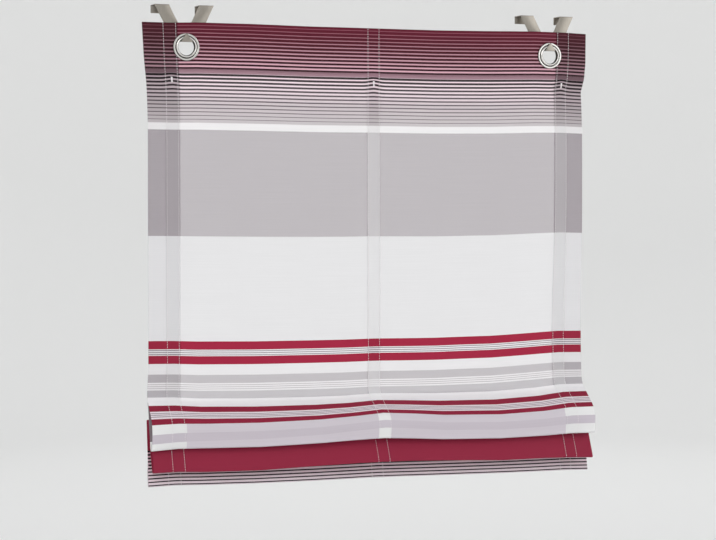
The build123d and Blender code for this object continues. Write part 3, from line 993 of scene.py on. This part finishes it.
# bar tacks: a few close passes of thread that hold the cord's end through cloth and tape
tack = {"halfHeight": 3.2, "halfWidth": 0.9, "passes": 9, "proud": 0.35}


def tackLine(x, down, behind, setup):
    points = []
    for i in range(setup["passes"] * 2 + 1):
        sideways = setup["halfWidth"] * (1 if i % 2 else -1)
        height = -setup["halfHeight"] + 2 * setup["halfHeight"] * i / (setup["passes"] * 2)
        points.append(clothSurface([x + sideways], [down + height], behind)[0])
    return points


tackLines = []
for side, middle in tapeMiddles.items():
    back = behindCloth(side) + tapes["thickness"]
    tackLines.append(tackLine(middle, tackDrop, -tack["proud"], tack))
    tackLines.append(tackLine(middle, tackDrop, back + tack["proud"], tack))
sewn.append(sew("bar_tacks", tackLines, threadPale, pitch=0.55, length=1.5, seed=7))

# rings: one row of four on each tape, held by loops of thread


def mouldedPlastic(name, hexCode, roughness, grain):
    # moulded plastic: even colour, faint orange-peel, soft highlight
    material, tree = newMaterial(name)
    place = objectMm(tree)
    peel = addNode(tree, "ShaderNodeTexNoise", {"Vector": place, "Scale": grain, "Detail": 2.0})
    shade = mottled(tree, hexCode, peel.outputs[0], 0.96)
    raised = {"Strength": 0.25, "Distance": 0.05 * mm, "Height": peel.outputs[0]}
    bump = addNode(tree, "ShaderNodeBump", raised)
    plastic = addNode(tree, "ShaderNodeBsdfPrincipled", {
        "Base Color": shade, "Normal": bump.outputs[0], "Roughness": roughness, "IOR": 1.49})
    finishMaterial(tree, plastic)
    return material


ringPlastic = mouldedPlastic("acetalMouldedWhite", "#eceae4", 0.35, 0.7)
stack = ringTree()
loopLines = []
loopTurns = np.linspace(0, 2 * math.pi, 17)
for side, middle in tapeMiddles.items():
    ringY = ringDepth(side)
    spots = bpy.data.meshes.new("ring_points_" + side)
    spots.from_pydata([Vector((middle, ringY, z)) * mm for z in ringHeights(side)], [], [])
    piece = grow("rings_" + side, spots, stack, {
        "Ring Radius": (rings["outer"] - rings["wire"]) / 2 * mm, "Wire Radius": rings["wire"] / 2 * mm,
        "Finish": ringPlastic})
    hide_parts("ring_set_" + side)
    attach(piece, "root")
    # loops of thread that tie each ring's front to the tape
    wireY = ringY - (rings["outer"] - rings["wire"]) / 2
    turns = [(math.sin(a) * rings["loopRadius"], math.cos(a) * rings["loopRadius"]) for a in loopTurns]
    for z in ringHeights(side):
        for offset in (-rings["loopSpread"], 0, rings["loopSpread"]):
            loopLines.append([(middle + offset, wireY + out, z + up) for out, up in turns])
sewn.append(sew("ring_ties", loopLines, threadPale, pitch=0.7, length=1.1, seed=8))
print("rings are tied on")

# turned and drawn metal: eyelets and washers


def lathe(name, outline, x, z, turns=96):
    # an outline of (radius, y) in millimetres turned about the eyelet's axis, which lies along Y
    verts, faces = [], []
    count = len(outline)
    for i in range(turns):
        angle = 2 * math.pi * i / turns
        verts += [(x + r * math.cos(angle), y, z + r * math.sin(angle)) for r, y in outline]
    for i in range(turns):
        near, far = i * count, (i + 1) % turns * count
        for k in range(count):
            faces.append((near + k, near + (k + 1) % count, far + (k + 1) % count, far + k))
    piece = addMesh(name, np.array(verts) * mm, faces)
    closeShell(piece)
    piece.data.set_sharp_from_angle(angle=math.radians(50))
    return piece


eyelet = {
    "rim": 17.0,
    "groove": 14.2,         # between the flat flange and the rolled inner ring
    "bore": 10.25,
    "barrel": 11.05,
    "flangeHeight": 1.15,
    "rollHeight": 2.4,
    "edgeHeight": 0.35,
    "edgeRound": 0.15,
    "grooveFloor": 0.1,
    "grooveWidth": 0.6,
    "curl": 1.9,            # how far the barrel's end is turned out over the washer
    "curlThickness": 0.6,
    "curlDip": 0.25,
    "washerFit": 0.1,
    "washerEdge": 0.25,
}


def swell(outer, inner, low, high, power, steps=10):
    # one rounded band of the section, from its outer to its inner edge
    points = []
    for i in range(steps + 1):
        share = i / steps
        lift = (1 - abs(2 * share - 1) ** power) ** (1 / power)
        points.append((outer + (inner - outer) * share, low + (high - low) * lift))
    return points


def addEyelet(side, sizes):
    low, high = eyeletBoxes[side]
    x, z = [c / mm for c in eyeletCentres[side]]
    face = low.y / mm + sizes["rollHeight"]
    back = high.y / mm
    rim, groove, bore, barrel = sizes["rim"], sizes["groove"], sizes["bore"], sizes["barrel"]
    edge, floor = sizes["edgeHeight"], sizes["grooveFloor"]
    section = [(rim - sizes["edgeRound"], 0.0), (rim, edge)]
    section += swell(rim, groove, edge + 0.2, sizes["flangeHeight"], 3.0)[1:]
    section.append((groove - sizes["edgeRound"], floor))
    section += swell(groove - sizes["grooveWidth"], bore, floor, sizes["rollHeight"], 2.2)
    outline = [(r, face - h) for r, h in section]
    # the barrel's end rounds over and lies out on the washer
    thick = sizes["curlThickness"]
    for turn in np.linspace(0, math.pi / 2, 5):
        outline.append((
            bore + 0.3 + thick / 2 * (1 - math.cos(turn)),
            back - thick / 2 * (1 - math.sin(turn))))
    for share in (0.25, 0.5, 0.75, 1.0):
        outline.append((barrel + sizes["curl"] * share, back - sizes["curlDip"] * share))
    outline += [(barrel + sizes["curl"], back - thick), (barrel, back - thick), (barrel, face)]
    return lathe("eyelet_ring_" + side, outline, x, z)


def addWasher(side):
    low, high = [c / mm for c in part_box("eyelet_washer_" + side)]
    x, z = [c / mm for c in eyeletCentres[side]]
    outer, inner, soft = (high.x - low.x) / 2, eyelet["barrel"] + eyelet["washerFit"], eyelet["washerEdge"]
    outline = [
        (inner, low.y + soft), (inner + soft, low.y), (outer - soft, low.y), (outer, low.y + soft),
        (outer, high.y - soft), (outer - soft, high.y), (inner + soft, high.y), (inner, high.y - soft)]
    return lathe("washer_ring_" + side, outline, x, z)


def rolledMetal(name, hexCode, roughness, grain, stretch, depth, paintedShadeRings=()):
    # metal with a directional finish: grain is the spacing of its lines in mm, stretch their length;
    # the dark rings are radii about an eyelet's middle, and half widths, where painted shade darkens it
    material, tree = newMaterial(name)
    place = objectMm(tree)
    drawn = {0: place, 1: [1 / s for s in stretch]}
    scales = addNode(tree, "ShaderNodeVectorMath", drawn, operation="MULTIPLY")
    streaks = {"Vector": scales.outputs[0], "Scale": 1 / grain, "Detail": 4.0}
    lines = addNode(tree, "ShaderNodeTexNoise", streaks)
    base = mottled(tree, hexCode, lines.outputs[0], 0.9)
    for x, z in eyeletCentres.values():
        flat = addNode(tree, "ShaderNodeVectorMath", {0: place, 1: (1, 0, 1)}, operation="MULTIPLY")
        middle = (x / mm, 0, z / mm)
        away = addNode(tree, "ShaderNodeVectorMath", {0: flat.outputs[0], 1: middle}, operation="DISTANCE")
        # painted shade: a dark ring at each radius, where the groove, the bore's edge and the rim's edge
        # would lie in shade
        for radius, half in paintedShadeRings:
            off = addNode(tree, "ShaderNodeMath", {0: away.outputs["Value"], 1: radius}, operation="SUBTRACT")
            near = addNode(tree, "ShaderNodeMath", {0: off.outputs[0], 1: 0.0, 2: half}, operation="COMPARE")
            mix = {"Factor": near.outputs[0], 6: base, 7: linear("#37332f")}
            base = addNode(tree, "ShaderNodeMix", mix, data_type="RGBA").outputs[2]
    roughs = {0: lines.outputs[0], 1: 0.3, 2: 0.7, 3: roughness * 0.8, 4: roughness * 1.25}
    rough = addNode(tree, "ShaderNodeMapRange", roughs)
    raised = {"Strength": 0.3, "Distance": depth * mm, "Height": lines.outputs[0]}
    bump = addNode(tree, "ShaderNodeBump", raised)
    metal = addNode(tree, "ShaderNodeBsdfPrincipled", {
        "Base Color": base, "Normal": bump.outputs[0], "Roughness": rough.outputs[0], "Metallic": 1.0})
    finishMaterial(tree, metal)
    return material


# nickel-plated brass, bright and slightly warm
# the dark rings at the groove, the bore's edge and the rim are painted shade
nickel = rolledMetal(
    "nickelPlatedBrass", "#dddbd7", 0.2, 1.2, (1, 1, 1), 0.01, [(13.9, 0.5), (10.6, 0.65), (17.0, 0.35)])
# cold-rolled stainless steel sheet, brushed along its length
steelSheet = rolledMetal("stainlessSheetBrushed", "#a19b92", 0.36, 0.8, (1, 1, 14), 0.02)
# hard-drawn spring wire, dark and smooth
springWire = rolledMetal("springSteelDrawn", "#8d8d90", 0.3, 0.6, (1, 1, 1), 0.01)
# extruded aluminium flat with fine lines along its length
flatBar = rolledMetal("aluminiumExtruded", "#c9cacc", 0.4, 0.7, (40, 1, 1), 0.02)

for side in eyeletSides:
    for piece, node in ((addEyelet(side, eyelet), "eyelet_front_"), (addWasher(side), "eyelet_washer_")):
        piece.data.materials.append(nickel)
        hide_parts(node + side)
        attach(piece, "root")
print("eyelets and washers are pressed on")


# merge distance in millimetres and angles in degrees for the parts copied from the CAD
softening = {"weld": 0.002, "flatAngle": 1.0, "edgeAngle": 38, "sharpAngle": 40}


def refined(node, name, body, material, edge, steps=2):
    # a copy of a modelled part, merged, with its edges softened
    piece = bpy.data.objects.new(name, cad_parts[node].data.copy())
    scene.collection.objects.link(piece)
    mesh = bmesh.new()
    mesh.from_mesh(piece.data)
    bmesh.ops.remove_doubles(mesh, verts=mesh.verts, dist=softening["weld"] * mm)
    flat = math.radians(softening["flatAngle"])
    bmesh.ops.dissolve_limit(mesh, angle_limit=flat, verts=mesh.verts, edges=mesh.edges)
    mesh.to_mesh(piece.data)
    mesh.free()
    soften = piece.modifiers.new("soften", "BEVEL")
    soften.width = edge * mm
    soften.segments = steps
    soften.limit_method = "ANGLE"
    soften.angle_limit = math.radians(softening["edgeAngle"])
    graph = bpy.context.evaluated_depsgraph_get()
    smooth = bpy.data.meshes.new_from_object(piece.evaluated_get(graph), depsgraph=graph)
    piece.modifiers.remove(soften)
    piece.data = smooth
    smooth.polygons.foreach_set("use_smooth", [True] * len(smooth.polygons))
    smooth.set_sharp_from_angle(angle=math.radians(softening["sharpAngle"]))
    smooth.materials.clear()
    smooth.materials.append(material)
    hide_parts(node)
    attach(piece, body)
    return piece


for side in eyeletSides:
    refined("sash_hook_" + side, "hook_sheet_" + side, "root", steelSheet, 0.14)
print("sash hooks are finished")

# the coil in each lock: a wound wire that fills the spring's modelled box
coil = {"wire": 0.6, "turns": 4, "round": 12, "perTurn": 28, "travel": 3.0}


def addSpring(side, sizes):
    low, high = [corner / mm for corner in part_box("cord_lock_spring_" + side)]
    middle = (low + high) / 2
    wire = sizes["wire"] / 2
    radius = (high.z - low.z) / 2 - wire
    start, length = low.x + wire, high.x - low.x - sizes["wire"]
    count = sizes["turns"] * sizes["perTurn"]
    verts, faces = [], []
    for i in range(count + 1):
        turn = 2 * math.pi * i / sizes["perTurn"]
        for k in range(sizes["round"]):
            around = 2 * math.pi * k / sizes["round"]
            r = radius + wire * math.cos(around)
            x = start + length * i / count + wire * math.sin(around)
            verts.append((x, middle.y + r * math.cos(turn), middle.z + r * math.sin(turn)))
    for i in range(count):
        for k in range(sizes["round"]):
            here, after = i * sizes["round"], (i + 1) * sizes["round"]
            beside = (k + 1) % sizes["round"]
            faces.append((here + k, here + beside, after + beside, after + k))
    last = count * sizes["round"]
    faces.append(tuple(reversed(range(sizes["round"]))))
    faces.append(tuple(range(last, last + sizes["round"])))
    spring = addMesh("lock_coil_" + side, np.array(verts) * mm, faces)
    spring.data.materials.append(springWire)
    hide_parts("cord_lock_spring_" + side)
    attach(spring, "root")
    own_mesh(spring)


lockPlastic = mouldedPlastic("absMouldedWhite", "#e9e8e6", 0.3, 0.5)
for side in tapeMiddles:
    button = "lock_button_" + side
    refined("cord_lock_body_" + side, "lock_barrel_" + side, "root", lockPlastic, 0.2)
    refined("cord_lock_plunger_" + side, "lock_plunger_" + side, button, lockPlastic, 0.2)
    addSpring(side, coil)
print("cord locks are finished")

# the bar lies straight in its tunnel, along the bottom edge
bar = {
    "corner": 1.1,
    "steps": 5,
    "endGap": 6,
    "low": 0.55,
    "height": 18,
    "thickness": 2.5,
    "leanFrom": (4, 24),    # heights on the skirt that give the bar's lean
}


def addBar(sizes):
    half = panel["halfWidth"] - sizes["endGap"]
    length = panel["length"]
    section = []
    for cornerX, cornerY, first in ((1, 1, 0), (-1, 1, 90), (-1, -1, 180), (1, -1, 270)):
        for i in range(sizes["steps"]):
            turn = math.radians(first + 90 * i / (sizes["steps"] - 1))
            section.append((
                cornerX * (sizes["thickness"] / 2 - sizes["corner"]) + sizes["corner"] * math.cos(turn),
                cornerY * (sizes["height"] / 2 - sizes["corner"]) + sizes["corner"] * math.sin(turn)))
    rows = []
    ends = []
    near, far = sizes["leanFrom"]
    for x in (-half, half):
        # two points on the straight skirt give the tunnel's place and lean at this end
        low, high = clothSurface([x], [length - near])[0], clothSurface([x], [length - far])[0]
        up = (high - low) * (0, 1, 1)
        up = up / np.linalg.norm(up)
        ends.append((low * (0, 1, 1) - up * near, up))
    for x in spaced((-half, half, 12)):
        share = (x + half) / (2 * half)
        base = ends[0][0] * (1 - share) + ends[1][0] * share
        up = ends[0][1] * (1 - share) + ends[1][1] * share
        back = np.array([0, up[2], -up[1]])
        middle = base + up * (sizes["low"] + sizes["height"] / 2) + back * folds["tunnelDepth"] / 2
        rows.append([middle + back * a + up * b + np.array([x, 0, 0]) for a, b in section])
    rows = [row + row[:1] for row in rows]
    piece = addGrid("bar_flat", rows)
    closeShell(piece, 0.01)
    piece.data.set_sharp_from_angle(angle=math.radians(40))
    piece.data.materials.append(flatBar)
    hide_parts("weight_bar")
    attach(piece, "root")


addBar(bar)
print("weight bar is in its hem")

# lift cords: braided, from the bar tack down through the rings and the lock to a knot
cords = {
    "radius": 0.8,
    "lobes": 4,
    "lay": 7.0,             # length along the cord for one turn of a strand
    "lobeDepth": 0.16,
    "sides": 14,
    "step": 0.8,
    "knot": 2.15,
    "knotCord": 0.75,       # drawn tight, so a little thinner
    "firstBend": 12.5,      # above the lower rings, where the cord comes into line with them
    "bendSpread": 12,       # steps either side over which that bend is eased
    "colour": "#efeeec",
}


def braidedTube(path, radius):
    # a tube whose section has lobes that wind both ways, as a braid's strands do
    path = np.array(path)
    run = np.concatenate([[0], np.cumsum(np.linalg.norm(np.diff(path, axis=0), axis=1))])
    rows = []
    side = np.array([1.0, 0, 0])
    for i, point in enumerate(path):
        ahead = path[min(i + 1, len(path) - 1)] - path[max(i - 1, 0)]
        ahead = ahead / np.linalg.norm(ahead)
        side = side - ahead * (side @ ahead)
        side = side / np.linalg.norm(side)
        other = np.cross(ahead, side)
        wind = 2 * math.pi * run[i] / cords["lay"]
        row = []
        for k in range(cords["sides"]):
            angle = 2 * math.pi * k / cords["sides"]
            strand = max(math.cos(cords["lobes"] * angle + wind), math.cos(cords["lobes"] * angle - wind))
            reach = radius * (1 - cords["lobeDepth"] * (1 - strand) / 2)
            row.append(point + (side * math.cos(angle) + other * math.sin(angle)) * reach)
        rows.append(row + row[:1])
    return rows


def knotPath(centre, size, count=90):
    # an overhand knot drawn tight
    points = []
    for i in range(count + 1):
        t = 2 * math.pi * i / count
        points.append(centre + size / 3.6 * np.array([
            math.sin(t) + 2 * math.sin(2 * t), -1.3 * math.sin(3 * t), math.cos(t) - 2 * math.cos(2 * t)]))
    return points


def addCord(side, sizes):
    middle = tapeMiddles[side]
    low, high = [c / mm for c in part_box("lift_cord_" + side)]
    ringY = ringDepth(side)
    top = np.array([middle, low.y + sizes["radius"], high.z])
    bendZ = min(ringHeights(side)) + sizes["firstBend"]
    bend = np.array([middle, ringY, bendZ])
    end = np.array([middle, ringY, low.z + sizes["knot"]])
    slope = [top + (bend - top) * t for t in np.linspace(0, 1, int((high.z - bendZ) / sizes["step"]))]
    drop = [bend + (end - bend) * t for t in np.linspace(0, 1, int((bendZ - low.z) / sizes["step"]))][1:]
    path = np.array(slope + drop)
    reach = sizes["bendSpread"]
    eased = np.array([path[max(0, i - reach) : i + reach + 1].mean(axis=0) for i in range(len(path))])
    eased[:reach], eased[-reach:] = path[:reach], path[-reach:]
    cord = addGrid("cord_line_" + side, braidedTube(eased, sizes["radius"]))
    tied = knotPath(end, sizes["knot"] - sizes["knotCord"])
    knot = addGrid("cord_knot_" + side, braidedTube(tied, sizes["knotCord"]))
    closeShell(cord, 0.005)
    closeShell(knot, 0.005)
    return cord, knot


cordYarn = sewingThread("polyesterCordBraided", cords["colour"])
for side in tapeMiddles:
    cord, knot = addCord(side, cords)
    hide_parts("lift_cord_" + side)
    for piece in (cord, knot):
        piece.data.materials.append(cordYarn)
        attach(piece, "root")
print("lift cords are threaded")
